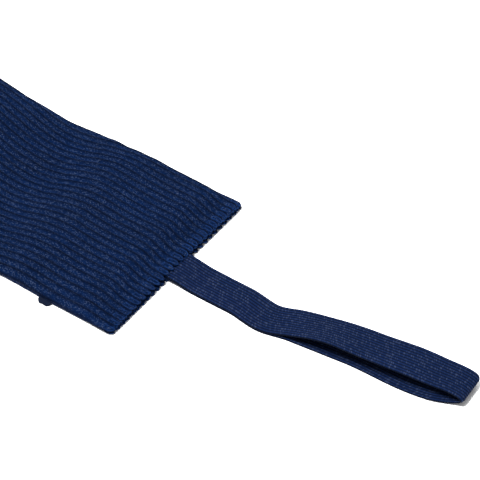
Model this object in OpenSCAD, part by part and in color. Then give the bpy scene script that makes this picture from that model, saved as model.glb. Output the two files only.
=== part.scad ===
// Ribbed knit limb cuff with an elastic hand loop, lying flat as it does on a table.
// The sleeve runs along X, the loop leaves the near hem towards +X, and Z is up.
// Inside the modules, x = 0 is the near hem and y = 0 is the middle of the sleeve.
// placed() then moves the whole model, so that the origin is under the middle of its box.

/* [Sleeve] */
// Width of the sleeve lying flat
sleeve_w = 110; // [80:1:160]
// Length of the sleeve from hem to hem
sleeve_len = 250; // [200:5:400]
// Thickness of one ply of rib knit
ply = 1.3; // [0.8:0.1:2]
// Distance from the near hem back to the crease where the sleeve folds
crease_x = 95; // [80:1:115]
// Height of the puffed stretch between the near hem and the crease
near_puff = 9.2; // [7:0.2:16]
// Height of the puffed stretch behind the crease
far_puff = 14; // [8:0.5:24]
// Height of the open mouth at the far hem
mouth_h = 12; // [9:0.5:20]

/* [Overlocked hems] */
// Width of the overlock seam along each hem
seam_w = 4; // [3:0.5:7]
// Diameter of the sewing threads
thread = 0.45; // [0.3:0.05:0.7]

/* [Elastic loop] */
// Width of the elastic tape
tape_w = 20; // [12:1:30]
// Thickness of the elastic tape
tape_t = 1; // [0.8:0.1:1.4]
// Length of the loop from the near hem to its fold
loop_len = 171; // [140:1:240]
// Height of the gap between the two plies of the loop
loop_gap = 7; // [5:0.5:14]
// Angle by which the outer part of the loop leans to the side
lean_angle = 6.5; // [0:0.5:10]
// Length of tape that is sewn in between the plies of the sleeve
tail_len = 8; // [5:1:14]
// Number of stretch core yarns across the tape
core_count = 11; // [7:1:15]
// Thickness of one core yarn
core_t = 0.4; // [0.2:0.05:0.6]

/* [Side label] */
// Width of the blank folded label along the sleeve
label_w = 8; // [6:1:20]
// How far the label stands out from the side of the sleeve
label_out = 3.6; // [3:0.2:8]
// Thickness of the folded label
label_t = 0.6; // [0.4:0.1:1]
// Distance from the near hem back to the middle of the label
label_x = 40; // [30:1:75]

/* [Hidden] */

knit_blue = [0.09, 0.165, 0.305];
thread_blue = [0.13, 0.21, 0.36];
tape_blue = [0.12, 0.18, 0.305];
yarn_grey = [0.55, 0.56, 0.58];
label_blue = [0.05, 0.08, 0.15];

// Clearances: between pieces of one body, and between the two bodies at a joint
skin_gap = 0.05;
joint_gap = 0.3;

// Sleeve: the folded edges, the seams and the places where its height changes
half_w = sleeve_w / 2;
fold_gap = 0.3;
crease_h = 2 * (ply + fold_gap);
hem_lift = thread + skin_gap;
tail_t = 2 * tape_t + 2 * skin_gap;
hem_h = hem_lift + 2 * ply + tail_t + 2 * skin_gap;
bartack_w = 1.2;
seam_flat = seam_w + bartack_w + 2 * skin_gap;
puff_run = 13;
crease_run = 40;
rise_run = 70;
section_sides = 40;
dome_power = 0.7;
flat_power = 0.3;
flat_gain = 1.25;

// Loop: where it starts, reaches the table, opens and folds back
tape_z = hem_lift + ply + skin_gap;
tail_out = 2;
loop_x0 = tail_out + joint_gap;
settle_x = loop_x0 + 16;
open_x = 0.37 * loop_len;
full_x = 0.53 * loop_len;
tape_gap = 2 * skin_gap;
fold_len = 14;
fold_leg = 1;
fold_x = loop_len - fold_len;
fold_half_h = 0.42 * (loop_gap + tape_t);
fold_mid_z = fold_half_h + tape_t;
lift_x = fold_x - 22;
bend_x = 0.3 * loop_len;
bend_run = 12;
kink_x = 0.335 * loop_len;
kink_side = 2.8;
kink_back = 1.6;
core_side = tape_w / 2 - 1.2;

// Label: the fixed root, as high as the sleeve's side edge, and the free tab beside it
label_root_len = 1;
label_root_h = ply + fold_gap - skin_gap;

// Box of the whole model, and the move that puts the origin under its middle
x_min = -(sleeve_len + skin_gap + thread);
x_max = loop_len;
y_min = -(half_w + label_out);
y_max = half_w + skin_gap + thread;
mid_x = (x_min + x_max) / 2;
mid_y = (y_min + y_max) / 2;

module placed() {
    translate([-mid_x, -mid_y, 0]) children();
}

// Smooth change from a to b while t goes from 0 to 1
function ease(a, b, t) =
    let (u = min(1, max(0, t)))
    a + (b - a) * u * u * (3 - 2 * u);

// Height of the sleeve's top face at distance d back from the near hem
function sleeve_top(d) =
    d < crease_x - crease_run ? ease(hem_h, near_puff, (d - seam_flat) / puff_run)
    : d < crease_x ? ease(near_puff, crease_h, (d - crease_x + crease_run) / crease_run)
    : d < crease_x + rise_run ? ease(crease_h, far_puff, (d - crease_x) / rise_run)
    : ease(far_puff, mouth_h, (d - crease_x - rise_run)
        / (sleeve_len - seam_flat - crease_x - rise_run));

// Height of the sleeve's lower face, which each hem's stitching lifts off the table
function sleeve_low(d) =
    ease(hem_lift, 0, (d - seam_flat) / puff_run)
    + ease(0, hem_lift, (d - sleeve_len + seam_flat + puff_run) / puff_run);

// Height of the folded side edges
function sleeve_edge(d) = sleeve_low(d) + ply + fold_gap;

// One cross-section of the flattened tube: domed above, flat on the table below
function section(d, half, low, high) = [
    for (i = [0 : section_sides - 1])
        let (a = 360 * i / section_sides, s = sin(a), edge = sleeve_edge(d))
        [
            -d,
            half * cos(a),
            s >= 0 ? edge + (high - edge) * pow(s, dome_power)
                : max(low, edge - (edge - low) * flat_gain * pow(-s, flat_power))
        ]
];

// The section moved outwards from the sleeve's outer face, or inwards through its wall
function outer_ring(d, out) =
    section(d, half_w + out, sleeve_low(d) - out, sleeve_top(d) + out);
function inner_ring(d, depth) =
    section(d, half_w - 2 * depth, sleeve_low(d) + depth, sleeve_top(d) - depth);

// Faces between rings of n points: count rings from the point numbered base
function side_faces(count, n, base, inward) = [
    for (i = [0 : count - 2], j = [0 : n - 1])
        let (
            k = (j + 1) % n,
            a = base + i * n + j, b = base + i * n + k,
            c = base + (i + 1) * n + k, e = base + (i + 1) * n + j
        )
        each inward ? [[a, c, b], [a, e, c]] : [[a, b, c], [a, c, e]]
];

// Ring-shaped end face between an outer ring and an inner one
function rim_faces(n, outer, inner, reversed) = [
    for (j = [0 : n - 1])
        let (k = (j + 1) % n)
        each reversed
            ? [[outer + j, outer + k, inner + k], [outer + j, inner + k, inner + j]]
            : [[outer + j, inner + k, outer + k], [outer + j, inner + j, inner + k]]
];

// Hollow tube through the given outer and inner rings
module hollow_loft(outer, inner) {
    count = len(outer);
    n = len(outer[0]);
    total = count * n;
    polyhedron(
        points = concat([for (r = outer) each r], [for (r = inner) each r]),
        faces = concat(
            side_faces(count, n, 0, false),
            side_faces(count, n, total, true),
            rim_faces(n, 0, total, false),
            rim_faces(n, total - n, 2 * total - n, true)
        )
    );
}

// Solid bar through rings of four points
module solid_loft(rings) {
    count = len(rings);
    last = 4 * (count - 1);
    polyhedron(
        points = [for (r = rings) each r],
        faces = concat(
            side_faces(count, 4, 0, false),
            [[0, 2, 1], [0, 3, 2], [last, last + 1, last + 2], [last, last + 2, last + 3]]
        )
    );
}

// A stretch of the sleeve between two distances from the near hem
module tube(stations) {
    hollow_loft(
        [for (d = stations) outer_ring(d, 0)],
        [for (d = stations) inner_ring(d, ply)]
    );
}

// A band of thread lying on the sleeve's outer face
module outer_band(from, to) {
    hollow_loft(
        [for (d = [from, to]) outer_ring(d, skin_gap + thread)],
        [for (d = [from, to]) outer_ring(d, skin_gap)]
    );
}

// A rope of thread along a cut edge, from the outer face to the inner one.
// It is shaped by the section at hem_d, and lies between the two distances.
module edge_rope(hem_d, from, to) {
    hollow_loft(
        [for (d = [from, to]) [for (p = outer_ring(hem_d, 0)) [-d, p[1], p[2]]]],
        [for (d = [from, to]) [for (p = inner_ring(hem_d, ply)) [-d, p[1], p[2]]]]
    );
}

// Near part of the knitted tube, from the near hem to the crease
module sleeve_near() {
    last = crease_x - joint_gap / 2;
    steps = 18;
    color(knit_blue) placed()
        tube(concat([0], [
            for (i = [0 : steps]) seam_flat + (last - seam_flat) * i / steps
        ]));
}

// Far part of the same tube, from the crease to the open far hem
module sleeve_far() {
    first = crease_x + joint_gap / 2;
    last = sleeve_len - seam_flat;
    steps = 22;
    color(knit_blue) placed()
        tube(concat([
            for (i = [0 : steps]) first + (last - first) * i / steps
        ], [sleeve_len]));
}

// Row of needle thread along the inner side of the near overlock seam
module near_needle_thread() {
    color(thread_blue) placed() outer_band(seam_w - thread, seam_w);
}

// Upper looper thread, laid over the outer face of the near seam
module near_upper_looper() {
    color(thread_blue) placed() outer_band(0, seam_w - thread - skin_gap);
}

// Lower looper thread, locked with the upper one along the near cut edge
module near_lower_looper() {
    color(thread_blue) placed() edge_rope(0, -skin_gap - thread, -skin_gap);
}

// Row of needle thread along the inner side of the far overlock seam
module far_needle_thread() {
    color(thread_blue) placed()
        outer_band(sleeve_len - seam_w, sleeve_len - seam_w + thread);
}

// Upper looper thread, laid over the outer face of the far seam
module far_upper_looper() {
    color(thread_blue) placed()
        outer_band(sleeve_len - seam_w + thread + skin_gap, sleeve_len);
}

// Lower looper thread, locked with the upper one along the far cut edge
module far_lower_looper() {
    color(thread_blue) placed()
        edge_rope(sleeve_len, sleeve_len + skin_gap, sleeve_len + skin_gap + thread);
}

// Sideways kink at the crease, where the doubled tape was pressed flat askew
function kink(x) =
    (kink_back * ease(0, 1, (x - kink_x) / 16) - kink_side * ease(0, 1, (x - kink_x + 18) / 20))
    * ease(1, 0, (x - 0.64 * loop_len) / (0.3 * loop_len));

// Sideways place of the tape's middle at distance x from the near hem
function lean(x) =
    let (k = tan(lean_angle))
    kink(x)
    + (x < bend_x - bend_run ? 0
        : x < bend_x + bend_run ? k * pow(x - bend_x + bend_run, 2) / (4 * bend_run)
        : k * (x - bend_x));

// Middle of the lower ply: down to the table, along it, and up to the fold
function lower_z(x) =
    tape_t / 2 + ease(tape_z, 0, (x - loop_x0) / (settle_x - loop_x0))
    + ease(0, fold_mid_z - fold_half_h - tape_t / 2, (x - lift_x) / (fold_x - lift_x));

// Middle of the upper ply: on the lower one, then arched over the gap
function upper_z(x) =
    tape_t * 3 / 2 + tape_gap + ease(tape_z, 0, (x - loop_x0) / (settle_x - loop_x0))
    + ease(0, loop_gap - tape_gap, (x - open_x) / (full_x - open_x))
    + ease(0, fold_mid_z + fold_half_h - loop_gap - tape_t * 3 / 2, (x - lift_x) / (fold_x - lift_x));

function ply_path(from, to, steps, upper) = [
    for (i = [0 : steps])
        let (x = from + (to - from) * i / steps)
        [x, upper ? upper_z(x) : lower_z(x)]
];

// Half turn of the tape at the loop's end, from the lower ply round to the upper one
function fold_path(steps) =
    let (
        arc_x = fold_x + fold_leg,
        arc_r = loop_len - tape_t / 2 - arc_x
    )
    concat(
        [[fold_x + joint_gap, fold_mid_z - fold_half_h]],
        [for (i = [0 : steps]) let (a = -90 + 180 * i / steps)
            [arc_x + arc_r * cos(a), fold_mid_z + fold_half_h * sin(a)]],
        [[fold_x + joint_gap, fold_mid_z + fold_half_h]]
    );

// A flat strip along a path of [x, z] points: its width, thickness and place across the tape
module strip(path, width, thick, side) {
    last = len(path) - 1;
    solid_loft([
        for (i = [0 : last])
            let (
                p = path[i],
                run = path[min(last, i + 1)] - path[max(0, i - 1)],
                across = [-run[1], run[0]] / norm(run) * thick / 2,
                hi = p + across,
                lo = p - across
            )
            [
                [lo[0], lean(lo[0]) + side - width / 2, lo[1]],
                [hi[0], lean(hi[0]) + side - width / 2, hi[1]],
                [hi[0], lean(hi[0]) + side + width / 2, hi[1]],
                [lo[0], lean(lo[0]) + side + width / 2, lo[1]]
            ]
    ]);
}

// The stretch core yarns that run along one path inside the tape
module core_yarns(path) {
    color(yarn_grey) placed()
        for (i = [0 : core_count - 1])
            strip(path, core_t, core_t, -core_side + 2 * core_side * i / (core_count - 1));
}

// Both ends of the tape, laid together between the plies at the near hem
module loop_tail() {
    color(tape_blue) placed()
        translate([-tail_len, -tape_w / 2, tape_z])
            cube([tail_len + tail_out, tape_w, tail_t]);
}

// Bar of close zigzag stitches over the sewn tape ends, on the top face of the hem
module loop_bartack() {
    bar_len = tape_w + 2;
    color(thread_blue) placed()
        translate([-seam_w - skin_gap - bartack_w, -bar_len / 2, hem_h + skin_gap])
            cube([bartack_w, bar_len, thread]);
}

// Upper ply of the loop, arched away from the lower one
module loop_upper_ply() {
    color(tape_blue) placed()
        strip(ply_path(loop_x0, fold_x, 40, true), tape_w, tape_t, 0);
}

// Lower ply of the loop, lying on the table
module loop_lower_ply() {
    color(tape_blue) placed()
        strip(ply_path(loop_x0, fold_x, 40, false), tape_w, tape_t, 0);
}

// End of the loop, where the tape turns back on itself
module loop_fold() {
    color(tape_blue) placed() strip(fold_path(20), tape_w, tape_t, 0);
}

// Stretch core yarns in the upper ply
module upper_core_yarns() {
    core_yarns(ply_path(loop_x0 + skin_gap, fold_x - skin_gap, 40, true));
}

// Stretch core yarns in the lower ply
module lower_core_yarns() {
    core_yarns(ply_path(loop_x0 + skin_gap, fold_x - skin_gap, 40, false));
}

// Stretch core yarns in the folded end
module fold_core_yarns() {
    core_yarns(fold_path(20));
}

// Part of the label that is sewn to the side edge of the sleeve
module label_root() {
    color(label_blue) placed()
        translate([-label_x - label_w / 2, -half_w - label_root_len, skin_gap])
            cube([label_w, label_root_len - skin_gap, label_root_h]);
}

// Free folded end of the label, which flips up
module label_tab() {
    tab_len = label_out - label_root_len - joint_gap;
    color(label_blue) placed()
        translate([-label_x - label_w / 2, -half_w - label_out, skin_gap])
            cube([label_w, tab_len, label_t]);
}

// Stitches that hold the label's root
module label_stitch() {
    stitch_w = 1.6;
    stitches = 3;
    pitch = (label_w - stitch_w) / (stitches - 1);
    color(thread_blue) placed()
        for (i = [0 : stitches - 1])
            translate([
                -label_x - label_w / 2 + i * pitch,
                -half_w - label_root_len,
                2 * skin_gap + label_root_h
            ])
                cube([stitch_w, label_root_len - skin_gap, thread]);
}

sleeve_near();
sleeve_far();
near_needle_thread();
near_upper_looper();
near_lower_looper();
far_needle_thread();
far_upper_looper();
far_lower_looper();
loop_tail();
loop_bartack();
loop_upper_ply();
loop_lower_ply();
loop_fold();
upper_core_yarns();
lower_core_yarns();
fold_core_yarns();
label_root();
label_tab();
label_stitch();
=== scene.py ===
import math

import bpy
import numpy as np
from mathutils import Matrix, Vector


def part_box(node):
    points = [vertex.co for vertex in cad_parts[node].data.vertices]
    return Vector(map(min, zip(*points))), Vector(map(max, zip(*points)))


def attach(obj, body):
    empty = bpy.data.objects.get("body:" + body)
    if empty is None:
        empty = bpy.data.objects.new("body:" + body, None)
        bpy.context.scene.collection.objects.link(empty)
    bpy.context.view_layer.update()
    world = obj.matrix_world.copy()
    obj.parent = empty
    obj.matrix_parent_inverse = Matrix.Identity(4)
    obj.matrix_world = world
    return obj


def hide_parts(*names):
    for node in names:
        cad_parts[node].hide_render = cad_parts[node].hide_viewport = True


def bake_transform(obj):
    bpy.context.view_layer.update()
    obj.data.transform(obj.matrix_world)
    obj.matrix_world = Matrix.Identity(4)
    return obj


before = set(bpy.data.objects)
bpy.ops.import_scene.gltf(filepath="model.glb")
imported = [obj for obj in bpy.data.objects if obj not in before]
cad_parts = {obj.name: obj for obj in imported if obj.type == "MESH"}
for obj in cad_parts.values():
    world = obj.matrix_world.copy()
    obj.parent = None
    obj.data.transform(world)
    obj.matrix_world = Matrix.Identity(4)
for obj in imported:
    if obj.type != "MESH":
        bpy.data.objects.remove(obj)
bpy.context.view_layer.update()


# ---------------------------------------------------------------------------
# Camera
# It looks down on the near hem and the loop from beside the loop, through a long
# lens, and takes in the near part of the sleeve and all of the loop.
# ---------------------------------------------------------------------------
VIEW_AZIMUTH = math.radians(35.6)
VIEW_ELEVATION = math.radians(45)
VIEW_HALF_WIDTH = 0.1212       # half of what the frame takes in, at the aimed point
LENS_MM = 600
SENSOR_MM = 36
AIM_PAST_HEM = 0.0138
AIM_ACROSS = 0.0358

near_lo, near_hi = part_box("sleeve_near")
hem_x = near_hi.x
mid_y = (near_lo.y + near_hi.y) / 2

camera = bpy.data.objects.new("camera", bpy.data.cameras.new("camera"))
bpy.context.scene.collection.objects.link(camera)
bpy.context.scene.camera = camera
camera.data.lens = LENS_MM
camera.data.sensor_width = SENSOR_MM
aim = Vector((hem_x + AIM_PAST_HEM, mid_y + AIM_ACROSS, 0))
towards_camera = Vector((
    math.sin(VIEW_AZIMUTH) * math.cos(VIEW_ELEVATION),
    -math.cos(VIEW_AZIMUTH) * math.cos(VIEW_ELEVATION),
    math.sin(VIEW_ELEVATION),
))
camera.location = aim + towards_camera * VIEW_HALF_WIDTH * LENS_MM / (SENSOR_MM / 2)
camera.rotation_mode = "QUATERNION"
camera.rotation_quaternion = (-towards_camera).to_track_quat("-Z", "Y")
camera.data.clip_start, camera.data.clip_end = 0.01, 10


# ---------------------------------------------------------------------------
# Sleeve
# One tube of coarse navy rib knit, lying flat. The near stretch is slightly puffed,
# then comes the crease where it folds, then a fuller stretch up to the open far mouth.
# It is knitted in the round, so it has no side seam. Ribs run from hem to hem.
# ---------------------------------------------------------------------------
PLY = 0.0013
FOLD_GAP = 0.0003              # half of the gap between the plies in the crease
CREASE_RUN, RISE_RUN, PUFF_RUN = 0.040, 0.070, 0.013
DOME_POWER, FLAT_POWER, FLAT_GAIN = 0.7, 0.3, 1.25
RIBS = 54
POINTS_PER_RIB = 8
RIB_DEPTH = 0.0011
BEND_REACH = 0.013             # the fold spreads this far to each side of the crease
NEAR_SPREAD, SPREAD_RUN = 0.0014, 0.030                        # near edge, by the hem
FAR_DRAW, DRAW_PAST, DRAW_REACH = 0.0024, 0.010, 0.038         # far edge, past the crease
FAR_LIFT, LIFT_BEFORE, LIFT_REACH = 0.0016, 0.030, 0.028       # far edge, before the crease
LOOSE_BEFORE, LOOSE_REACH = 0.012, 0.055                       # cloth bunches, at the crease
SECTION_POINTS = 2401
HEM_STEP, NEAR_STEP, BEND_STEP, FAR_STEP = 0.0011, 0.0021, 0.0013, 0.0024   # between rings
RIM_ROUND = 0.0004             # the cut edge bulges out this far, as it is round
INNER_RELIEF = 0.25            # the inner face has this share of the outer face's ribs
HELD_RUN = 0.012               # the seam keeps the cloth from wandering this far in
SCALLOP_RUN = 0.004            # the rib ends bulge out over this much of the edge

far_lo, far_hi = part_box("sleeve_far")
sleeve_len = hem_x - far_lo.x
crease_d = hem_x - (near_lo.x + far_hi.x) / 2
half_width = (near_hi.y - near_lo.y) / 2
hem_lift, hem_height = (corner.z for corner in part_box("near_lower_looper"))
mouth_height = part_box("far_lower_looper")[1].z
seam_flat = hem_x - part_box("loop_bartack")[0].x
crease_height = 2 * (PLY + FOLD_GAP)


def ease(a, b, t):
    """Smooth change from a to b while t goes from 0 to 1."""
    u = np.clip(t, 0, 1)
    return a + (b - a) * u * u * (3 - 2 * u)


def sleeve_top(d):
    """Height of the sleeve's top face at distance d back from the near hem."""
    rise_end = crease_d + RISE_RUN
    return np.select(
        [d < crease_d - CREASE_RUN, d < crease_d, d < rise_end],
        [
            ease(hem_height, near_hi.z, (d - seam_flat) / PUFF_RUN),
            ease(near_hi.z, crease_height, (d - crease_d + CREASE_RUN) / CREASE_RUN),
            ease(crease_height, far_hi.z, (d - crease_d) / RISE_RUN),
        ],
        ease(far_hi.z, mouth_height, (d - rise_end) / (sleeve_len - seam_flat - rise_end)),
    )


def sleeve_low(d):
    """Height of the lower face, which the stitching lifts off the table at each hem."""
    return (ease(hem_lift, 0, (d - seam_flat) / PUFF_RUN)
            + ease(0, hem_lift, (d - sleeve_len + seam_flat + PUFF_RUN) / PUFF_RUN))


def swell_at(x, middle, reach):
    """A smooth rise to 1 around the middle, and 0 beyond the reach to either side."""
    return 0.5 + 0.5 * np.cos(math.pi * np.clip((x - middle) / reach, -1, 1))


def section_ring(d, depth, around):
    """Points of one cross-section, depth under the outer face, at shares of the way round."""
    angle = np.linspace(0, 2 * math.pi, SECTION_POINTS)
    sine = np.sin(angle)
    half = half_width - (2 * depth if depth > 0 else depth)
    low, high = sleeve_low(d) + depth, sleeve_top(d) - depth
    edge = sleeve_low(d) + PLY + FOLD_GAP
    y = half * np.cos(angle)
    domed = edge + (high - edge) * np.abs(sine) ** DOME_POWER
    flat = np.maximum(low, edge - (edge - low) * FLAT_GAIN * np.abs(sine) ** FLAT_POWER)
    z = np.where(sine >= 0, domed, flat)
    near_side, far_side = 0.5 - 0.5 * np.cos(angle), 0.5 + 0.5 * np.cos(angle)
    y -= NEAR_SPREAD * near_side * ease(1, 0, (d - SPREAD_RUN) / SPREAD_RUN)
    y -= FAR_DRAW * far_side * swell_at(d, crease_d + DRAW_PAST, DRAW_REACH)
    lifted = FAR_LIFT * far_side * np.maximum(sine, 0)
    z += lifted * swell_at(d, crease_d - LIFT_BEFORE, LIFT_REACH)
    run = np.concatenate([[0], np.cumsum(np.hypot(np.diff(y), np.diff(z)))])
    at = np.asarray(around) % 1 * run[-1]
    return np.interp(at, run, y) + mid_y, np.interp(at, run, z)


def tube_mesh(name, rows, columns):
    """Closed ring-shaped mesh: rows is a list of (distance, depth), columns the points round."""
    around = np.arange(columns) / columns
    points = np.zeros((len(rows), columns, 3))
    for i, (d, depth) in enumerate(rows):
        inside = min(max(d, 0), sleeve_len)
        y, z = section_ring(inside, depth, around)
        points[i] = np.stack([np.full(columns, hem_x - d), y, z], axis=1)
    i, j = np.meshgrid(np.arange(len(rows)), np.arange(columns), indexing="ij")
    i2, j2 = (i + 1) % len(rows), (j + 1) % columns
    quads = np.stack([i * columns + j, i * columns + j2, i2 * columns + j2, i2 * columns + j], -1)
    mesh = bpy.data.meshes.new(name)
    mesh.from_pydata(points.reshape(-1, 3).tolist(), [], quads.reshape(-1, 4).tolist())
    along = np.array([d for d, _ in rows]) / sleeve_len
    uv = np.stack([
        np.stack([j, j + 1, j + 1, j], -1) / columns,
        np.stack([along[i], along[i], along[i2], along[i2]], -1),
    ], -1)
    layer = mesh.uv_layers.new(name="knit")
    layer.data.foreach_set("uv", uv.reshape(-1).astype(np.float32))
    return mesh


def store(mesh, name, values):
    """Writes one number per point of the mesh, for Geometry Nodes to read."""
    attribute = mesh.attributes.new(name, "FLOAT", "POINT")
    attribute.data.foreach_set("value", np.asarray(values, np.float32).reshape(-1))


def add_piece(name, mesh):
    """Puts the mesh in the scene as a piece of its own, at the origin."""
    piece = bpy.data.objects.new(name, mesh)
    bpy.context.scene.collection.objects.link(piece)
    return piece


def add_node(tree, kind, ins=None, **settings):
    """Adds a node. ins maps an input's name or number to a value or to another node's output."""
    node = tree.nodes.new(kind)
    for key, value in settings.items():
        setattr(node, key, value)
    for key, value in (ins or {}).items():
        if isinstance(value, bpy.types.NodeSocket):
            tree.links.new(value, node.inputs[key])
        else:
            node.inputs[key].default_value = value
    return node


def calc(tree, operation, *values, clamp=False):
    """One Math node's result, from numbers or outputs."""
    node = add_node(tree, "ShaderNodeMath", dict(enumerate(values)), operation=operation)
    node.use_clamp = clamp
    return node.outputs[0]


def about(tree, value, middle, amount):
    """How far the value is from its middle, times the amount."""
    return calc(tree, "MULTIPLY", calc(tree, "SUBTRACT", value, middle), amount)


def vector(tree, operation, ins):
    """One Vector Math node's result."""
    return add_node(tree, "ShaderNodeVectorMath", ins, operation=operation).outputs[0]


def soft_noise(tree, place, scale, detail):
    """Smooth noise that stays near 0.5."""
    return add_node(tree, "ShaderNodeTexNoise",
                    {"Vector": place, "Scale": scale, "Detail": detail}).outputs[0]


def new_tree(name, kind, inputs, outputs):
    """An empty node group with named sockets. Returns it with its input and output nodes."""
    tree = bpy.data.node_groups.new(name, kind)
    for label, socket_type, default in inputs:
        socket = tree.interface.new_socket(label, in_out="INPUT", socket_type=socket_type)
        if default is not None:
            socket.default_value = default
    for label, socket_type in outputs:
        tree.interface.new_socket(label, in_out="OUTPUT", socket_type=socket_type)
    return tree, tree.nodes.new("NodeGroupInput"), tree.nodes.new("NodeGroupOutput")


def grow(piece, tree, **values):
    """Runs a Geometry Nodes tree on the piece and keeps the result as its plain mesh."""
    modifier = piece.modifiers.new(tree.name, "NODES")
    modifier.node_group = tree
    for item in tree.interface.items_tree:
        key = item.name.replace(" ", "_").lower()
        if item.in_out == "INPUT" and key in values:
            modifier[item.identifier] = values[key]
    depsgraph = bpy.context.evaluated_depsgraph_get()
    mesh = bpy.data.meshes.new_from_object(piece.evaluated_get(depsgraph))
    piece.modifiers.remove(modifier)
    old, piece.data = piece.data, mesh
    mesh.name = piece.name
    bpy.data.meshes.remove(old)


def on_table(tree, geometry, clearance):
    """Presses flat whatever would reach under the table, to the given height above it."""
    place = add_node(tree, "ShaderNodeSeparateXYZ",
                     {0: add_node(tree, "GeometryNodeInputPosition").outputs[0]}).outputs
    height = calc(tree, "MAXIMUM", place[2], clearance)
    pressed = add_node(tree, "ShaderNodeCombineXYZ", {0: place[0], 1: place[1], 2: height})
    return add_node(tree, "GeometryNodeSetPosition",
                    {"Geometry": geometry, "Position": pressed.outputs[0]}).outputs[0]


def finish_tree(tree, start, end, geometry):
    """Ends a tree in smooth shading, real geometry and its material."""
    smooth = add_node(tree, "GeometryNodeSetShadeSmooth", {"Geometry": geometry})
    real = add_node(tree, "GeometryNodeRealizeInstances", {"Geometry": smooth.outputs[0]})
    painted = add_node(tree, "GeometryNodeSetMaterial",
                       {"Geometry": real.outputs[0], "Material": start.outputs["Material"]})
    tree.links.new(painted.outputs[0], end.inputs[0])


def rib_relief_tree():
    """Presses furrows into the skin between ribs that wander, and ripples and bunches it."""
    tree, start, end = new_tree(
        "rib_relief", "GeometryNodeTree",
        [("Geometry", "NodeSocketGeometry", None), ("Ribs", "NodeSocketFloat", 54.0),
         ("Depth", "NodeSocketFloat", 0.001), ("Wander", "NodeSocketFloat", 0.1),
         ("Ripple", "NodeSocketFloat", 0.0003), ("Bunch", "NodeSocketFloat", 0.001),
         ("Scallop", "NodeSocketFloat", 0.001),
         ("Material", "NodeSocketMaterial", None)],
        [("Geometry", "NodeSocketGeometry")])
    around, skin, hold, rim, slack = (
        add_node(tree, "GeometryNodeInputNamedAttribute", {"Name": name},
                 data_type="FLOAT").outputs[0]
        for name in ("around", "skin", "hold", "rim", "slack"))
    place = add_node(tree, "GeometryNodeInputPosition").outputs[0]
    lengthwise = vector(tree, "MULTIPLY", {0: place, 1: (22, 95, 60)})
    drift = about(tree, soft_noise(tree, lengthwise, 1.0, 2.0), 0.5, start.outputs["Wander"])
    drift = calc(tree, "MULTIPLY", drift, hold)
    phase = calc(tree, "ADD", calc(tree, "MULTIPLY", around, start.outputs["Ribs"]), drift)
    wave = calc(tree, "ABSOLUTE", calc(tree, "SINE", calc(tree, "MULTIPLY", phase, math.pi)))
    crown = calc(tree, "POWER", wave, 0.65)
    furrow = about(tree, crown, 1.0, start.outputs["Depth"])
    ripple = about(tree, soft_noise(tree, place, 42.0, 2.0), 0.62, start.outputs["Ripple"])
    crosswise = vector(tree, "MULTIPLY", {0: place, 1: (110, 26, 30)})
    bunch = about(tree, soft_noise(tree, crosswise, 1.0, 1.0), 0.6, start.outputs["Bunch"])
    ripple = calc(tree, "ADD", ripple, calc(tree, "MULTIPLY", bunch, slack))
    ripple = calc(tree, "MULTIPLY", ripple, hold)
    lift = calc(tree, "MULTIPLY", calc(tree, "ADD", furrow, ripple), skin)
    normal = add_node(tree, "GeometryNodeInputNormal").outputs[0]
    tip = calc(tree, "MULTIPLY", about(tree, wave, 0.5, start.outputs["Scallop"]), rim)
    tip = add_node(tree, "ShaderNodeCombineXYZ", {0: tip}).outputs[0]
    offset = vector(tree, "ADD", {0: vector(tree, "SCALE", {0: normal, "Scale": lift}), 1: tip})
    moved = add_node(tree, "GeometryNodeSetPosition",
                     {"Geometry": start.outputs["Geometry"], "Offset": offset})
    # The crown is kept for the rib_knit material, which paints shade into the furrows with it.
    marked = add_node(tree, "GeometryNodeStoreNamedAttribute",
                      {"Geometry": moved.outputs[0], "Name": "crown", "Value": crown},
                      data_type="FLOAT", domain="POINT")
    clearance = calc(tree, "MULTIPLY_ADD", calc(tree, "SUBTRACT", 1.0, skin), 0.0009, 0.0001)
    finish_tree(tree, start, end, on_table(tree, marked.outputs[0], clearance))
    return tree


def speckle_group():
    """Uneven dyeing of spun yarn: fine flecks, and slow changes over the cloth."""
    tree, start, end = new_tree(
        "yarn_speckle", "ShaderNodeTree",
        [("Fleck Size", "NodeSocketFloat", 0.0006), ("Patch Size", "NodeSocketFloat", 0.02),
         ("Fleck", "NodeSocketFloat", 0.6), ("Patch", "NodeSocketFloat", 0.3)],
        [("Shade", "NodeSocketFloat")])
    place = add_node(tree, "ShaderNodeTexCoord").outputs["Object"]
    shade = 0.5
    for size, amount, detail in (("Fleck Size", "Fleck", 3.0), ("Patch Size", "Patch", 2.0)):
        scale = calc(tree, "DIVIDE", 1.0, start.outputs[size])
        noise = soft_noise(tree, place, scale, detail)
        shade = calc(tree, "ADD", shade, about(tree, noise, 0.5, start.outputs[amount]))
    tree.links.new(calc(tree, "MULTIPLY", shade, 1.0, clamp=True), end.inputs["Shade"])
    return tree


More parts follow.
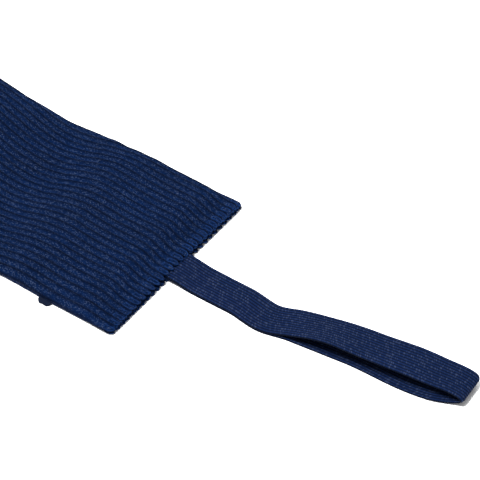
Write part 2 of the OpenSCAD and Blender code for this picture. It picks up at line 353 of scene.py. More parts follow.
def stitch_group():
    """Columns of V-shaped knit stitches on the piece's own UV map."""
    tree, start, end = new_tree(
        "knit_stitches", "ShaderNodeTree",
        [("Wales", "NodeSocketFloat", 162.0), ("Courses", "NodeSocketFloat", 220.0)],
        [("Height", "NodeSocketFloat"), ("Luck", "NodeSocketFloat")])
    uv = add_node(tree, "ShaderNodeUVMap", uv_map="knit").outputs[0]
    split = add_node(tree, "ShaderNodeSeparateXYZ", {0: uv})
    wale = calc(tree, "MULTIPLY", split.outputs[0], start.outputs["Wales"])
    across = calc(tree, "FRACT", wale)
    side = calc(tree, "ABSOLUTE", calc(tree, "SUBTRACT", calc(tree, "MULTIPLY", across, 2.0), 1.0))
    rows = calc(tree, "MULTIPLY", split.outputs[1], start.outputs["Courses"])
    slanted = calc(tree, "ADD", rows, calc(tree, "MULTIPLY", side, 0.8))
    leg = calc(tree, "SINE", calc(tree, "MULTIPLY", calc(tree, "FRACT", slanted), math.pi))
    middle = calc(tree, "SINE", calc(tree, "MULTIPLY", side, math.pi))
    body = calc(tree, "ADD", calc(tree, "MULTIPLY", middle, 0.6), 0.4)
    tree.links.new(calc(tree, "MULTIPLY", leg, body), end.inputs["Height"])
    cell = add_node(tree, "ShaderNodeCombineXYZ",
                    {0: calc(tree, "FLOOR", calc(tree, "MULTIPLY", wale, 2.0)),
                     1: calc(tree, "FLOOR", slanted)}).outputs[0]
    luck = add_node(tree, "ShaderNodeTexWhiteNoise", {"Vector": cell}, noise_dimensions="2D")
    tree.links.new(luck.outputs[0], end.inputs["Luck"])
    return tree


def cloth_material(name, dark, light, pale, roughness, sheen, sheen_tint):
    """Principled cloth, mixed from dark to light, with pale flecks. The mix takes yarn tone, and
    for some cloths painted shade as well.

    Returns the material, its tree, its shader and the sockets that mix light and pale in.
    """
    material = bpy.data.materials.new(name)
    material.use_nodes = True
    tree = material.node_tree
    shader = tree.nodes["Principled BSDF"]
    shader.inputs["Roughness"].default_value = roughness
    shader.inputs["Specular IOR Level"].default_value = 0.03
    shader.inputs["Sheen Weight"].default_value = sheen
    shader.inputs["Sheen Roughness"].default_value = 0.45
    shader.inputs["Sheen Tint"].default_value = (*sheen_tint, 1)
    # Dark to light: yarn tone, and painted shade where a caller feeds it in.
    mix = add_node(tree, "ShaderNodeMix", {6: (*dark, 1), 7: (*light, 1)}, data_type="RGBA")
    flecked = add_node(tree, "ShaderNodeMix", {0: 0.0, 6: mix.outputs[2], 7: (*pale, 1)},
                       data_type="RGBA")
    tree.links.new(flecked.outputs[2], shader.inputs["Base Color"])
    return material, tree, shader, mix.inputs[0], flecked.inputs[0]


def bump(tree, shader, height, distance):
    """Lets the height shade the surface as relief this deep, in metres."""
    node = add_node(tree, "ShaderNodeBump", {"Height": height, "Distance": distance})
    tree.links.new(node.outputs[0], shader.inputs["Normal"])


yarn_speckle = speckle_group()
knit_stitches = stitch_group()


def use_group(tree, group, **values):
    """Places a shader group with these inputs, and returns its outputs."""
    node = tree.nodes.new("ShaderNodeGroup")
    node.node_tree = group
    for key, value in values.items():
        node.inputs[key.replace("_", " ").title()].default_value = value
    return node.outputs


def rib_knit_material():
    """Navy yarn with a pale fleck on some stitches, and painted shade in the furrows and between
    stitches.
    """
    material, tree, shader, shade_in, pale_in = cloth_material(
        "rib_knit", dark=(0.0002, 0.0016, 0.009), light=(0.0008, 0.0250, 0.127),
        pale=(0.130, 0.175, 0.290), roughness=0.85, sheen=0.015, sheen_tint=(0.15, 0.35, 1.0))
    height, luck = use_group(tree, knit_stitches, wales=RIBS * 6.0, courses=380.0)
    fleck = use_group(tree, yarn_speckle, fleck_size=0.0006, patch_size=0.022,
                      fleck=1.6, patch=0.6)[0]
    # Painted shade: the rib crown darkens the colour towards the furrows, where shade falls.
    crown = add_node(tree, "ShaderNodeAttribute", attribute_name="crown").outputs["Fac"]
    furrow = calc(tree, "POWER", crown, 1.35)
    grain = calc(tree, "ADD", calc(tree, "MULTIPLY", luck, 0.7), 0.6)
    # Painted shade between stitches: the stitch height darkens their gaps, mixed with the yarn's
    # own speckle.
    shade = calc(tree, "MULTIPLY_ADD", height, 0.4, calc(tree, "MULTIPLY", fleck, 0.6))
    shade = calc(tree, "MULTIPLY", calc(tree, "MULTIPLY", shade, furrow), grain)
    tree.links.new(shade, shade_in)
    lucky = calc(tree, "POWER", luck, 6.0)
    pale = calc(tree, "MULTIPLY", lucky, calc(tree, "MULTIPLY", height, furrow))
    tree.links.new(calc(tree, "MULTIPLY", pale, 0.8), pale_in)
    bump(tree, shader, calc(tree, "ADD", height, calc(tree, "MULTIPLY", fleck, 0.7)), 0.0008)
    return material


def sleeve_rows():
    """(distance, depth) of each ring: along the outer skin, round the far rim and back inside."""
    dense = np.arange(0, seam_flat + 0.0001, HEM_STEP)
    near = np.arange(seam_flat + 0.002, crease_d - BEND_REACH - 0.001, NEAR_STEP)
    bend = np.arange(crease_d - BEND_REACH, crease_d + BEND_REACH, BEND_STEP)
    far = np.arange(crease_d + BEND_REACH + 0.001, sleeve_len - seam_flat - 0.001, FAR_STEP)
    outer = np.concatenate([dense, near, bend, far, sleeve_len - dense[::-1]])
    inner = outer[::-1][::2]
    rim = (PLY * 0.3, PLY * 0.7)
    return ([(d, 0.0) for d in outer]
            + [(sleeve_len + RIM_ROUND, depth) for depth in rim]
            + [(d, PLY) for d in inner]
            + [(-RIM_ROUND, depth) for depth in rim[::-1]])


rows = sleeve_rows()
columns = RIBS * POINTS_PER_RIB
sleeve_mesh = tube_mesh("sleeve", rows, columns)
around = np.tile(np.arange(columns) / columns, len(rows))
depths = np.repeat([depth for _, depth in rows], columns)
distances = np.repeat([d for d, _ in rows], columns)
hold = np.clip(np.minimum(distances, sleeve_len - distances) / HELD_RUN, 0, 1)
store(sleeve_mesh, "around", around)
store(sleeve_mesh, "skin", np.where(depths < PLY / 2, 1.0, INNER_RELIEF))
store(sleeve_mesh, "hold", hold)
near_rim = np.clip(1 - distances / SCALLOP_RUN, 0, 1) ** 1.5
far_rim = np.clip(1 - (sleeve_len - distances) / SCALLOP_RUN, 0, 1) ** 1.5
store(sleeve_mesh, "rim", near_rim - far_rim)
store(sleeve_mesh, "slack", swell_at(distances, crease_d - LOOSE_BEFORE, LOOSE_REACH))
sleeve = add_piece("sleeve", sleeve_mesh)
grow(sleeve, rib_relief_tree(), ribs=float(RIBS), depth=RIB_DEPTH, wander=0.5,
     ripple=0.0014, bunch=0.0016, scallop=0.0022, material=rib_knit_material())
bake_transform(sleeve)
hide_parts("sleeve_near", "sleeve_far")


# ---------------------------------------------------------------------------
# Near hem stitching
# A three-thread overlock seam along the cut edge, in bulky polyester thread. There is
# one stitch to a rib: it draws the furrow in, and the rib ends as a bump at the edge.
# ---------------------------------------------------------------------------
THREAD_RADIUS = 0.00034
NEEDLE_D = 0.0039              # the needle's row lies this far in from the cut edge
OVERHANG = 0.0016              # the loops reach this far past the cut edge
LOOP_RISE, LOOP_DIP, LOOP_LEAN = 0.0004, 0.0003, 0.10  # over the cloth, at the edge, aside
NEEDLE_DIP, NEEDLE_RISE = 0.0007, 0.0011               # into the cloth, and back out over it
STITCH_STEPS = 12


def sleeve_point(d, share, lift):
    """A point lift above the outer skin, or under it where lift is negative."""
    inside = min(max(d, 0.0), sleeve_len)
    y, z = section_ring(inside, -lift, [share])
    return hem_x - d, float(y[0]), float(z[0])


def looper_path(side, outer):
    """Thread that swings between the needle's row and the cut edge, once to a rib."""
    points = []
    for k in range(RIBS * STITCH_STEPS):
        turn = k / STITCH_STEPS
        swing = 0.5 - 0.5 * math.cos(2 * math.pi * turn)      # 0 at the needle, 1 at the edge
        d = NEEDLE_D * (1 - swing) - OVERHANG * swing ** 2
        arch = math.sin(math.pi * swing)
        over = 0.0001 + LOOP_RISE * arch - LOOP_DIP * swing ** 6
        lift = over if outer else -PLY - over + 0.0002
        if side == "far":
            d = sleeve_len - d
        leant = turn + LOOP_LEAN * math.sin(4 * math.pi * turn)
        points.append(sleeve_point(d, leant / RIBS, lift))
    return points


def needle_paths(side):
    """One short stitch over each rib, which dips into the cloth at both ends."""
    d = NEEDLE_D + 0.0001
    if side == "far":
        d = sleeve_len - d
    stations = [(t, -NEEDLE_DIP + NEEDLE_RISE * math.sin(math.pi * t) ** 0.5)
                for t in np.linspace(0.04, 0.96, 7)]
    return [[sleeve_point(d, (k + t) / RIBS, lift) for t, lift in stations]
            for k in range(RIBS)]


def line_piece(name, paths, closed):
    """Piece made of bare edges that follow the paths."""
    points, edges = [], []
    for path in paths:
        first = len(points)
        points += path
        edges += [(first + i, first + i + 1) for i in range(len(path) - 1)]
        if closed:
            edges.append((len(points) - 1, first))
    mesh = bpy.data.meshes.new(name)
    mesh.from_pydata(points, edges, [])
    return add_piece(name, mesh)


def spun_thread_tree():
    """Turns each line of edges into a round thread that swells and wanders a little."""
    tree, start, end = new_tree(
        "spun_thread", "GeometryNodeTree",
        [("Geometry", "NodeSocketGeometry", None), ("Radius", "NodeSocketFloat", 0.0003),
         ("Sides", "NodeSocketInt", 6), ("Swell", "NodeSocketFloat", 0.3),
         ("Wander", "NodeSocketFloat", 0.0002), ("Seed", "NodeSocketFloat", 0.0),
         ("Material", "NodeSocketMaterial", None)],
        [("Geometry", "NodeSocketGeometry")])
    place = add_node(tree, "GeometryNodeInputPosition").outputs[0]
    noise = add_node(tree, "ShaderNodeTexNoise",
                     {"Vector": place, "W": start.outputs["Seed"], "Scale": 260.0, "Detail": 1.0},
                     noise_dimensions="4D")
    drift = vector(tree, "SUBTRACT", {0: noise.outputs["Color"], 1: (0.5, 0.5, 0.5)})
    drift = vector(tree, "SCALE", {0: drift, "Scale": start.outputs["Wander"]})
    line = add_node(tree, "GeometryNodeMeshToCurve", {0: start.outputs["Geometry"]}).outputs[0]
    moved = add_node(tree, "GeometryNodeSetPosition", {"Geometry": line, "Offset": drift})
    laid = on_table(tree, moved.outputs[0], start.outputs["Radius"])
    swell = about(tree, noise.outputs[0], 0.5, start.outputs["Swell"])
    radius = calc(tree, "MULTIPLY", calc(tree, "ADD", swell, 1.0), start.outputs["Radius"])
    ring = add_node(tree, "GeometryNodeCurvePrimitiveCircle",
                    {"Resolution": start.outputs["Sides"], "Radius": 1.0}).outputs[0]
    sized = add_node(tree, "GeometryNodeSetCurveRadius", {"Curve": laid, "Radius": radius})
    tube = add_node(tree, "GeometryNodeCurveToMesh",
                    {"Curve": sized.outputs[0], "Profile Curve": ring, "Scale": radius,
                     "Fill Caps": True})
    finish_tree(tree, start, end, on_table(tree, tube.outputs[0], 0.0))
    return tree


def seam_thread_material():
    """Bulky thread in nearly the knit's navy, with loose fine fibres."""
    material, tree, shader, shade_in, _ = cloth_material(
        "seam_thread", dark=(0.0003, 0.0018, 0.009), light=(0.0060, 0.027, 0.108),
        pale=(0.1, 0.13, 0.25), roughness=0.75, sheen=0.05, sheen_tint=(0.3, 0.42, 1.0))
    fleck = use_group(tree, yarn_speckle, fleck_size=0.0007, patch_size=0.004,
                      fleck=1.6, patch=0.9)[0]
    tree.links.new(fleck, shade_in)
    fibre = use_group(tree, yarn_speckle, fleck_size=0.00025, patch_size=0.001,
                      fleck=1.4, patch=0.4)[0]
    bump(tree, shader, fibre, 0.0002)
    return material


spun_thread = spun_thread_tree()
seam_thread = seam_thread_material()


def sew(name, paths, closed, body, node, seed, radius=THREAD_RADIUS):
    """Makes thread along the paths, rides it on the body and puts it in the CAD piece's place."""
    piece = line_piece(name, paths, closed)
    grow(piece, spun_thread, radius=radius, sides=6, swell=0.5, wander=0.00035, seed=seed,
         material=seam_thread)
    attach(piece, body)
    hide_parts(node)
    return piece


def sew_hem(side, body, seed):
    """The seam's needle row, its loops on the outer face and its loops on the inner face."""
    needle = sew(side + "_needle_stitches", needle_paths(side), False, body,
                 side + "_needle_thread", seed)
    upper = sew(side + "_upper_loops", [looper_path(side, True)], True, body,
                side + "_upper_looper", seed + 1)
    lower = sew(side + "_lower_loops", [looper_path(side, False)], True, body,
                side + "_lower_looper", seed + 2)
    return needle, upper, lower


near_threads = sew_hem("near", "sleeve", seed=1.0)


# ---------------------------------------------------------------------------
# Far hem stitching
# The same overlock seam round the open mouth at the far end of the sleeve.
# ---------------------------------------------------------------------------
far_threads = sew_hem("far", "sleeve_back", seed=4.0)


# ---------------------------------------------------------------------------
# Loop tape
# One length of narrow woven elastic with fine lengthwise ribs, folded double. Its two
# plies lie together near the hem, part past a crease, and turn back at the rounded end.
# ---------------------------------------------------------------------------
TAPE_T = 0.0010
TAPE_GAP = 0.0001              # between the plies where they lie together
LEAN = math.tan(math.radians(6.5))
BEND_SHARE, BEND_RUN = 0.30, 0.012                     # at this share of its length it leans
KINK_SHARE, KINK_SIDE, KINK_BACK = 0.335, 0.0028, 0.0016
KINK_IN, KINK_OUT = 0.020, 0.016                       # the kink sets in and eases off over these
OPEN_SHARE, FULL_SHARE = 0.36, 0.60                    # the plies part, and stand fully apart
SLACK = 0.0003                 # the upper ply is this much looser than the lower one
FOLD_REACH = 0.0125            # length of the rounded turn at the end
FOLD_NARROWS = 0.015           # share of its width that the tape loses as it turns
CORNER_TUCK, CORNER_FROM = 0.0010, 0.78
LIFT_RUN = 0.022               # the plies meet the turn's height over this
SETTLE_RUN = 0.016             # out of the hem, the tape comes down to the table over this
SAG_X, SAG_REACH, SAG_ROLL = 0.091, 0.024, 0.11        # the upper ply's far edge hangs here
TILT_X, TILT_RUN, TILT_ROLL = 0.118, 0.020, 0.05       # and its near edge from here
LEVEL_X, LEVEL_RUN = 0.145, 0.016                      # until it levels out here
SWAY_X, SWAY_REACH, SWAY = 0.146, 0.042, 0.0036        # the lower ply bows out here
SWAY_END, SWAY_END_RUN = 0.152, 0.018                  # and comes back in from here
JOIN_X = 0.012                 # the sewn root ends and the free loop begins here
TAPE_RIBS = 12
POINTS_PER_LINE = 4
TAPE_RELIEF = 0.00011
TAPE_RIPPLE, RIPPLE_SIZE = 0.0006, 0.018               # its slow waves, and how long they are
EDGE_ROUND = 0.985             # the faces end at this share of the half width

upper_lo, upper_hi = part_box("loop_upper_ply")
fold_lo, fold_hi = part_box("loop_fold")
tail_lo, tail_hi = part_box("loop_tail")
tape_w = tail_hi.y - tail_lo.y
loop_len = fold_hi.x - hem_x
loop_gap = upper_hi.z - 2 * TAPE_T
tape_z = tail_lo.z
loop_x0 = upper_lo.x - hem_x
fold_mid_z = (fold_lo.z + fold_hi.z) / 2
fold_half_z = (fold_hi.z - fold_lo.z - TAPE_T) / 2
fold_start = loop_len - TAPE_T / 2 - FOLD_REACH


def lean(x):
    """Sideways place of the tape's middle at distance x from the near hem."""
    bend = BEND_SHARE * loop_len
    curve = LEAN * (x - bend + BEND_RUN) ** 2 / (4 * BEND_RUN)
    return np.select([x < bend - BEND_RUN, x < bend + BEND_RUN], [0.0 * x, curve],
                     LEAN * (x - bend))


def kink(x):
    """Sideways kink of both plies at the crease, where the tape was pressed flat askew."""
    crease = KINK_SHARE * loop_len
    aside = (KINK_BACK * ease(0, 1, (x - crease) / KINK_OUT)
             - KINK_SIDE * ease(0, 1, (x - crease + 0.018) / KINK_IN))
    return aside * ease(1, 0, (x / loop_len - 0.64) / 0.3)


def upper_z(x):
    """Middle of the upper ply: it lies on the lower one past the crease, then stands off."""
    settled = TAPE_T * 1.5 + TAPE_GAP + ease(tape_z, 0, (x - loop_x0) / SETTLE_RUN)
    parted = np.clip((x / loop_len - OPEN_SHARE) / (FULL_SHARE - OPEN_SHARE), 0, 1)
    risen = loop_gap * np.sin(parted * math.pi / 2) ** 1.4
    slack = SLACK * ease(0, 1, (x / loop_len - KINK_SHARE) / 0.30)
    to_fold = ease(0, fold_mid_z + fold_half_z - loop_gap - TAPE_T * 1.5 - TAPE_GAP - SLACK,
                   (x - fold_start + LIFT_RUN) / LIFT_RUN)
    return settled + risen + slack + to_fold


def lower_z(x):
    """Middle of the lower ply: down to the table, along it, and up into the fold."""
    settled = TAPE_T / 2 + ease(tape_z, 0, (x - loop_x0) / SETTLE_RUN)
    return settled + ease(0, fold_mid_z - fold_half_z - TAPE_T / 2,
                          (x - fold_start + LIFT_RUN) / LIFT_RUN)


def upper_roll(x):
    """Sideways tilt of the upper ply, in radians."""
    tilted = ease(0, 1, (x - TILT_X) / TILT_RUN) * ease(1, 0, (x - LEVEL_X) / LEVEL_RUN)
    return TILT_ROLL * tilted - SAG_ROLL * swell_at(x, SAG_X, SAG_REACH)


def lower_sway(x):
    """The lower ply bows out a little to one side before it turns up into the fold."""
    bowed = swell_at(x, SWAY_X, SWAY_REACH)
    return -SWAY * bowed * ease(1, 0, (x - SWAY_END) / SWAY_END_RUN)


def tape_line(first, step=0.0013):
    """Middle line, roll and share of the fold for the tape, from x = first out and back again."""
    out = np.arange(first, fold_start, step)
    back = out[::-1]
    turn = np.linspace(math.pi / 2, -math.pi / 2, 31)
    turn_x = fold_start + FOLD_REACH * np.cos(turn)
    turn_z = fold_mid_z + fold_half_z * np.sin(turn)
    x = np.concatenate([out, turn_x, back])
    z = np.concatenate([upper_z(out), turn_z, lower_z(back)])
    turn_sway = lower_sway(turn_x) * 0.5 * (1 - np.sin(turn))
    sway = np.concatenate([0 * out, turn_sway, lower_sway(back)])
    roll = np.concatenate([upper_roll(out), 0 * turn, 0 * back])
    fold = np.concatenate([0 * out, np.cos(turn), 0 * back])
    return x, lean(x) + kink(x) + sway, z, roll, fold


def tape_profile():
    """The tape's cross-section: shares of its half width across, and metres up."""
    count = TAPE_RIBS * POINTS_PER_LINE
    across = np.linspace(-1, 1, count + 1)
    wave = np.abs(np.sin(math.pi * (across + 1) / 2 * TAPE_RIBS)) ** 0.7
    top = TAPE_T / 2 - TAPE_RELIEF * (1 - wave)
    face = across * EDGE_ROUND
    flat = np.concatenate([face, [1.0], face[::-1], [-1.0]])
    up = np.concatenate([top, [0.0], -top[::-1], [0.0]])
    return flat, up


def tape_frame(x, y, z, roll):
    """Points of the line, with the way across the tape and the way out of its face."""
    line = np.stack([x, y, z], 1)
    run = np.gradient(line, axis=0)
    run /= np.linalg.norm(run, axis=1)[:, None]
    stations = np.linspace(0, loop_len, 400)
    phi = np.arctan(np.interp(x, stations, np.gradient(lean(stations), stations)))
    over = np.stack([-np.sin(phi), np.cos(phi), 0 * phi], 1)
    over -= run * (over * run).sum(1)[:, None]
    over /= np.linalg.norm(over, axis=1)[:, None]
    up_way = np.cross(run, over)
    turned_over = over * np.cos(roll)[:, None] + up_way * np.sin(roll)[:, None]
    turned_up = up_way * np.cos(roll)[:, None] - over * np.sin(roll)[:, None]
    return line, turned_over, turned_up


def fold_tuck(flat, fold):
    """How far the edges hang back at the folded end, which rounds its corners."""
    corner = np.maximum(np.abs(flat) - CORNER_FROM, 0) / (1 - CORNER_FROM)
    return CORNER_TUCK * fold ** 2 * corner ** 1.5


def tape_mesh(name, lines, start_v, thin=0.0):
    """One closed shell per line, each the tape's cross-section carried along that line."""
    flat, up = tape_profile()
    up = up * (1 - thin)
    columns = len(flat)
    points, faces, uvs = [], [], []
    for (x, y, z, roll, fold), v0 in zip(lines, start_v):
        first = len(points)
        line, turned_over, turned_up = tape_frame(x, y, z, roll)
        step = np.concatenate([[0], np.cumsum(np.linalg.norm(np.diff(line, axis=0), axis=1))]) + v0
        half = tape_w / 2 * (1 - FOLD_NARROWS * fold ** 2)
        for i in range(len(x)):
            ring = (line[i] + turned_over[i] * (flat * half[i])[:, None]
                    + turned_up[i] * up[:, None])
            ring[:, 0] -= fold_tuck(flat, fold[i])
            points += [tuple(p) for p in ring]
        rings = len(x)
        u = (flat + 1) / 2
        for i in range(rings - 1):
            for j in range(columns):
                k = (j + 1) % columns
                a = first + i * columns
                b = a + columns
                faces.append((a + j, b + j, b + k, a + k))
                uvs += [(u[j], step[i]), (u[j], step[i + 1]), (u[k], step[i + 1]), (u[k], step[i])]
        last = first + (rings - 1) * columns
        faces.append(tuple(first + j for j in range(columns)))
        faces.append(tuple(last + j for j in reversed(range(columns))))
        uvs += [(u[j], step[0]) for j in range(columns)]
        uvs += [(u[j], step[-1]) for j in reversed(range(columns))]
    mesh = bpy.data.meshes.new(name)
    points = [(px + hem_x, py + mid_y, pz) for px, py, pz in points]
    mesh.from_pydata(points, [], faces)
    layer = mesh.uv_layers.new(name="tape")
    layer.data.foreach_set("uv", np.array(uvs, np.float32).reshape(-1))
    return mesh


def cloth_ripple_tree():
    """Gives a strip small slow waves, as worn elastic has."""
    tree, start, end = new_tree(
        "cloth_ripple", "GeometryNodeTree",
        [("Geometry", "NodeSocketGeometry", None), ("Ripple", "NodeSocketFloat", 0.0003),
         ("Size", "NodeSocketFloat", 0.02), ("Material", "NodeSocketMaterial", None)],
        [("Geometry", "NodeSocketGeometry")])
    place = add_node(tree, "GeometryNodeInputPosition").outputs[0]
    scale = calc(tree, "DIVIDE", 1.0, start.outputs["Size"])
    lift = about(tree, soft_noise(tree, place, scale, 1.0), 0.45, start.outputs["Ripple"])
    offset = add_node(tree, "ShaderNodeCombineXYZ", {2: lift}).outputs[0]
    moved = add_node(tree, "GeometryNodeSetPosition",
                     {"Geometry": start.outputs["Geometry"], "Offset": offset})
    finish_tree(tree, start, end, on_table(tree, moved.outputs[0], 0.0001))
    return tree


def tape_weave_group():
    """Fine ribs along the tape with a small slanted stitch on each, and pale flecks in rows."""
    tree, start, end = new_tree(
        "tape_weave", "ShaderNodeTree",
        [("Ribs", "NodeSocketFloat", 12.0), ("Stitch", "NodeSocketFloat", 0.0005)],
        [("Height", "NodeSocketFloat"), ("Fleck", "NodeSocketFloat")])
    uv = add_node(tree, "ShaderNodeUVMap", uv_map="tape").outputs[0]
    split = add_node(tree, "ShaderNodeSeparateXYZ", {0: uv})
    rib = calc(tree, "MULTIPLY", split.outputs[0], start.outputs["Ribs"])
    wave = calc(tree, "ABSOLUTE", calc(tree, "SINE", calc(tree, "MULTIPLY", rib, math.pi)))
    part = calc(tree, "FRACT", rib)
    along = calc(tree, "DIVIDE", split.outputs[1], start.outputs["Stitch"])
    slanted = calc(tree, "ADD", along, calc(tree, "MULTIPLY", part, 0.9))
    stitch = calc(tree, "MULTIPLY", calc(tree, "FRACT", slanted), math.pi)
    stitch = calc(tree, "MULTIPLY_ADD", calc(tree, "SINE", stitch), 0.5, 0.5)
    height = calc(tree, "MULTIPLY", stitch, wave)
    tree.links.new(height, end.inputs["Height"])
    cell = add_node(tree, "ShaderNodeCombineXYZ",
                    {0: calc(tree, "FLOOR", rib), 1: calc(tree, "FLOOR", slanted)})
    luck = add_node(tree, "ShaderNodeTexWhiteNoise", {"Vector": cell.outputs[0]},
                    noise_dimensions="2D").outputs[0]
    fleck = calc(tree, "MULTIPLY", calc(tree, "POWER", luck, 5.0), height)
    tree.links.new(fleck, end.inputs["Fleck"])
    return tree


tape_weave = tape_weave_group()
cloth_ripple = cloth_ripple_tree()


def elastic_material():
    """Greyish navy elastic: ribs along it, painted shade in the grooves between them and between
    stitches, and pale flecks.
    """
    material, tree, shader, shade_in, pale_in = cloth_material(
        "elastic_tape", dark=(0.0004, 0.0015, 0.006), light=(0.0038, 0.0118, 0.049),
        pale=(0.10, 0.13, 0.22), roughness=0.8, sheen=0.03, sheen_tint=(0.3, 0.4, 0.8))
    height, pale = use_group(tree, tape_weave, ribs=float(TAPE_RIBS))
    fleck = use_group(tree, yarn_speckle, fleck_size=0.0007, patch_size=0.02,
                      fleck=1.0, patch=0.4)[0]
    # Painted shade: the colour darkens in the grooves between ribs and between stitches, where
    # shade falls.
    painted_groove_shade = calc(tree, "POWER", height, 1.4)
    tree.links.new(calc(tree, "MULTIPLY", painted_groove_shade, calc(tree, "ADD", fleck, 0.5)), shade_in)
    tree.links.new(calc(tree, "MULTIPLY", pale, 0.22), pale_in)
    bump(tree, shader, height, 0.0002)
    return material


elastic = elastic_material()
x, y, z, roll, fold = tape_line(JOIN_X)
tape = add_piece("loop_tape", tape_mesh("loop_tape", [(x, y, z, roll, fold)], [JOIN_X]))
grow(tape, cloth_ripple, ripple=TAPE_RIPPLE, size=RIPPLE_SIZE, material=elastic)
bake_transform(tape)
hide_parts("loop_upper_ply", "loop_lower_ply", "loop_fold")


# ---------------------------------------------------------------------------
# Loop root
# The two sewn ends of the same tape, laid together between the plies of the hem, and
# the short free stretch beside it, which bends when the loop swings up.
# ---------------------------------------------------------------------------
ROOT_END_X = JOIN_X + 0.0015   # the root ends a little way inside the loop tape
tail_x = tail_lo.x - hem_x


def root_line(height):
    """Middle line of one sewn end, at this height over the table once it has come down."""
    x = np.arange(tail_x, ROOT_END_X, 0.0009)
    settle = ease(tape_z, 0, (x - loop_x0) / SETTLE_RUN)
    return x, lean(x), height + settle, 0 * x, 0 * x


root_lines = [root_line(TAPE_T * 1.5 + TAPE_GAP), root_line(TAPE_T * 0.5)]
root = add_piece("loop_root", tape_mesh("loop_root", root_lines, [tail_x, tail_x], thin=0.03))
grow(root, cloth_ripple, ripple=TAPE_RIPPLE, size=RIPPLE_SIZE, material=elastic)
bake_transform(root)
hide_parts("loop_tail")


# ---------------------------------------------------------------------------
# Core yarns
# Eleven bare rubber yarns that run inside the elastic along its ribs and pull it short.
# ---------------------------------------------------------------------------
def core_yarn_material():
    """Bare grey rubber, dusty and slightly uneven."""
    material, tree, shader, shade_in, _ = cloth_material(
        "core_yarn", dark=(0.20, 0.20, 0.21), light=(0.42, 0.42, 0.43),
        pale=(0.6, 0.6, 0.6), roughness=0.55, sheen=0.05, sheen_tint=(0.8, 0.8, 0.8))
    fleck = use_group(tree, yarn_speckle, fleck_size=0.0005, patch_size=0.01,
                      fleck=1.0, patch=0.5)[0]
    tree.links.new(fleck, shade_in)
    bump(tree, shader, fleck, 0.0001)
    return material


CORE_COUNT = 11
CORE_RADIUS = 0.00018
CORE_MARGIN = 0.0012           # the outer yarns lie this far in from the tape's edges
core_side = tape_w / 2 - CORE_MARGIN
x, y, z, roll, fold = tape_line(JOIN_X + 0.001, step=0.0026)
line, turned_over, _ = tape_frame(x, y, z, roll)
core_paths = []
for flat in np.linspace(-core_side, core_side, CORE_COUNT) / (tape_w / 2):
    path = line + turned_over * (flat * tape_w / 2 * (1 - FOLD_NARROWS * fold ** 2))[:, None]
    path[:, 0] -= fold_tuck(flat, fold)
    core_paths.append([(px + hem_x, py + mid_y, pz) for px, py, pz in path])
cores = line_piece("core_yarns", core_paths, False)
grow(cores, cloth_ripple, ripple=TAPE_RIPPLE, size=RIPPLE_SIZE)
grow(cores, spun_thread, radius=CORE_RADIUS, sides=5, swell=0.2, wander=0.0, seed=7.0,
     material=core_yarn_material())
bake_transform(cores)
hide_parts("upper_core_yarns", "lower_core_yarns", "fold_core_yarns")


# ---------------------------------------------------------------------------
# Bar tack
# Close zigzag stitches across the hem that hold the tape's ends between the plies.
# ---------------------------------------------------------------------------
tack_lo, tack_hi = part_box("loop_bartack")
TACK_PITCH = 0.0006
TACK_RISE, TACK_DIP = 0.00025, 0.0002                  # mid stitch, and where it goes in
tack_size = tack_hi - tack_lo
tack_count = int(tack_size.y / TACK_PITCH)
tack_path = []
for k in range(tack_count * 2 + 1):
    share = k / (tack_count * 2)
    for part in (0.0, 0.5):
        swing = (0.0, 0.5, 1.0, 0.5)[(2 * k + int(part * 2)) % 4]
        across = tack_lo.y + tack_size.y * (share + part / (tack_count * 2)) * 0.98
        rise = TACK_RISE if swing == 0.5 else -TACK_DIP
        tack_path.append((tack_lo.x + tack_size.x * swing, across, tack_lo.z + rise))
tack = sew("bar_tack", [tack_path], False, "sleeve", "loop_bartack", seed=8.0, radius=0.00022)


# ---------------------------------------------------------------------------
# Side label
# A short length of blank dark satin tape, folded double, its cut ends sewn to the side
# edge of the sleeve. The free fold stands out and flips up. Three stitches hold it.
# ---------------------------------------------------------------------------
label_lo, label_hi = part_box("label_tab")
label_root_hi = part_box("label_root")[1]
LABEL_PLY = 0.00026
LABEL_GAP = 0.00017            # from a ply's middle to the middle of the folded pair
LABEL_DROP = 0.0013            # from the sewn end down to the free fold
LABEL_CURL = 0.00025
LABEL_SEWN_IN = 0.0008         # its cut ends lie this far inside the sleeve's edge
LABEL_LOW = 0.00055            # height of its free fold's middle over the table
LABEL_PAST = 0.0004            # the fold rounds off this far past the CAD tab


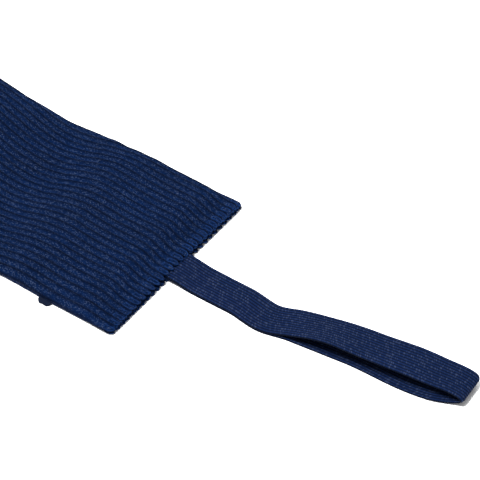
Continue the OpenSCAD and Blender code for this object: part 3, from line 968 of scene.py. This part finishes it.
def label_mesh(name):
    """Folded strip: two plies from the sleeve's edge out to a fold, with soft corners."""
    half = (label_hi.x - label_lo.x) / 2
    middle = (label_hi.x + label_lo.x) / 2
    reach = label_root_hi.y - label_lo.y + LABEL_SEWN_IN + LABEL_PAST
    turn = np.linspace(math.pi / 2, -math.pi / 2, 9)
    out = np.linspace(0, reach - LABEL_GAP, 9)
    run = np.concatenate([out, reach - LABEL_GAP + LABEL_GAP * np.cos(turn), out[::-1]])
    side = np.concatenate([LABEL_GAP + 0 * out, LABEL_GAP * np.sin(turn), -LABEL_GAP + 0 * out])
    ways = np.gradient(np.stack([run, side], 1), axis=0)
    ways /= np.linalg.norm(ways, axis=1)[:, None]
    across = np.linspace(-1, 1, 17)
    points, faces = [], []
    columns = 2 * len(across)
    for r, s, (wr, ws) in zip(run, side, ways):
        outward = r / reach
        soft = half * math.sqrt(1 - 0.75 * max((outward - 0.3) / 0.7, 0) ** 3)
        drop = LABEL_DROP * (1 - outward)
        for face in (1, -1):
            for a in (across if face == 1 else across[::-1]):
                px = middle + a * soft
                offset = face * LABEL_PLY / 2
                curl = LABEL_CURL * outward * a * a
                points.append((px, label_root_hi.y + LABEL_SEWN_IN - r + ws * offset - curl,
                               LABEL_LOW + drop + s + wr * offset))
    rings = len(run)
    for i in range(rings - 1):
        for j in range(columns):
            k = (j + 1) % columns
            a, b = i * columns, (i + 1) * columns
            faces.append((a + j, a + k, b + k, b + j))
    faces.append(tuple(reversed(range(columns))))
    faces.append(tuple((rings - 1) * columns + j for j in range(columns)))
    mesh = bpy.data.meshes.new(name)
    mesh.from_pydata(points, [], faces)
    return mesh


def label_material():
    """Dark satin tape, blank, with fine flecks of tone and a faint fine bump."""
    material, tree, shader, shade_in, _ = cloth_material(
        "label_tape", dark=(0.0010, 0.0020, 0.006), light=(0.0040, 0.0080, 0.024),
        pale=(0.03, 0.04, 0.08), roughness=0.55, sheen=0.03, sheen_tint=(0.4, 0.5, 0.8))
    fleck = use_group(tree, yarn_speckle, fleck_size=0.0004, patch_size=0.004,
                      fleck=1.2, patch=0.5)[0]
    tree.links.new(fleck, shade_in)
    bump(tree, shader, fleck, 0.00008)
    return material


label = add_piece("side_label", label_mesh("side_label"))
grow(label, cloth_ripple, ripple=0.0002, size=0.004, material=label_material())
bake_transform(label)
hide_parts("label_root", "label_tab")

LABEL_STITCH, LABEL_STITCH_Z = 0.0016, 0.0021
stitch_lo, stitch_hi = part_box("label_stitch")
stitch_y = (stitch_lo.y + stitch_hi.y) / 2
label_paths = []
for k in range(3):
    first = stitch_lo.x + (stitch_hi.x - stitch_lo.x - LABEL_STITCH) * k / 2
    label_paths.append([
        (first + LABEL_STITCH * t, stitch_y, LABEL_STITCH_Z + 0.00025 * math.sin(math.pi * t))
        for t in (0, 0.25, 0.5, 0.75, 1)])
label_stitches = sew("label_stitches", label_paths, False, "sleeve", "label_stitch",
                     seed=9.0, radius=0.00016)


# ---------------------------------------------------------------------------
# Floor and light
# A plain pale sheet of paper under soft light from a wide sky and two large lamps.
# ---------------------------------------------------------------------------
def floor_material():
    """White matt paper."""
    material = bpy.data.materials.new("floor_paper")
    material.use_nodes = True
    shader = material.node_tree.nodes["Principled BSDF"]
    shader.inputs["Base Color"].default_value = (0.96, 0.96, 0.96, 1)
    shader.inputs["Roughness"].default_value = 0.9
    shader.inputs["Specular IOR Level"].default_value = 0.1
    return material


FLOOR_REACH, FLOOR_Z = 6, -0.00005
corners = ((-1, -1), (1, -1), (1, 1), (-1, 1))
floor_mesh = bpy.data.meshes.new("floor")
floor_mesh.from_pydata([(x * FLOOR_REACH, y * FLOOR_REACH, FLOOR_Z) for x, y in corners],
                       [], [(0, 1, 2, 3)])
floor_mesh.materials.append(floor_material())
floor = add_piece("floor", floor_mesh)


def lamp(name, place, size, watts):
    """A round soft lamp that looks at what the camera looks at."""
    light = bpy.data.lights.new(name, "AREA")
    light.shape = "DISK"
    light.size = size
    light.energy = watts
    lamp_object = bpy.data.objects.new(name, light)
    bpy.context.scene.collection.objects.link(lamp_object)
    lamp_object.location = place
    lamp_object.rotation_mode = "QUATERNION"
    lamp_object.rotation_quaternion = (Vector(place) - aim).to_track_quat("Z", "Y")


lamp("key_lamp", (-0.1, -0.55, 1.7), 0.6, 68)
lamp("fill_lamp", (-0.3, 1.2, 1.4), 1.6, 17)
world = bpy.data.worlds.new("soft_sky")
world.use_nodes = True
world.node_tree.nodes["Background"].inputs["Color"].default_value = (1, 1, 1, 1)
world.node_tree.nodes["Background"].inputs["Strength"].default_value = 0.56
bpy.context.scene.world = world
bpy.context.scene.view_settings.view_transform = "Standard"
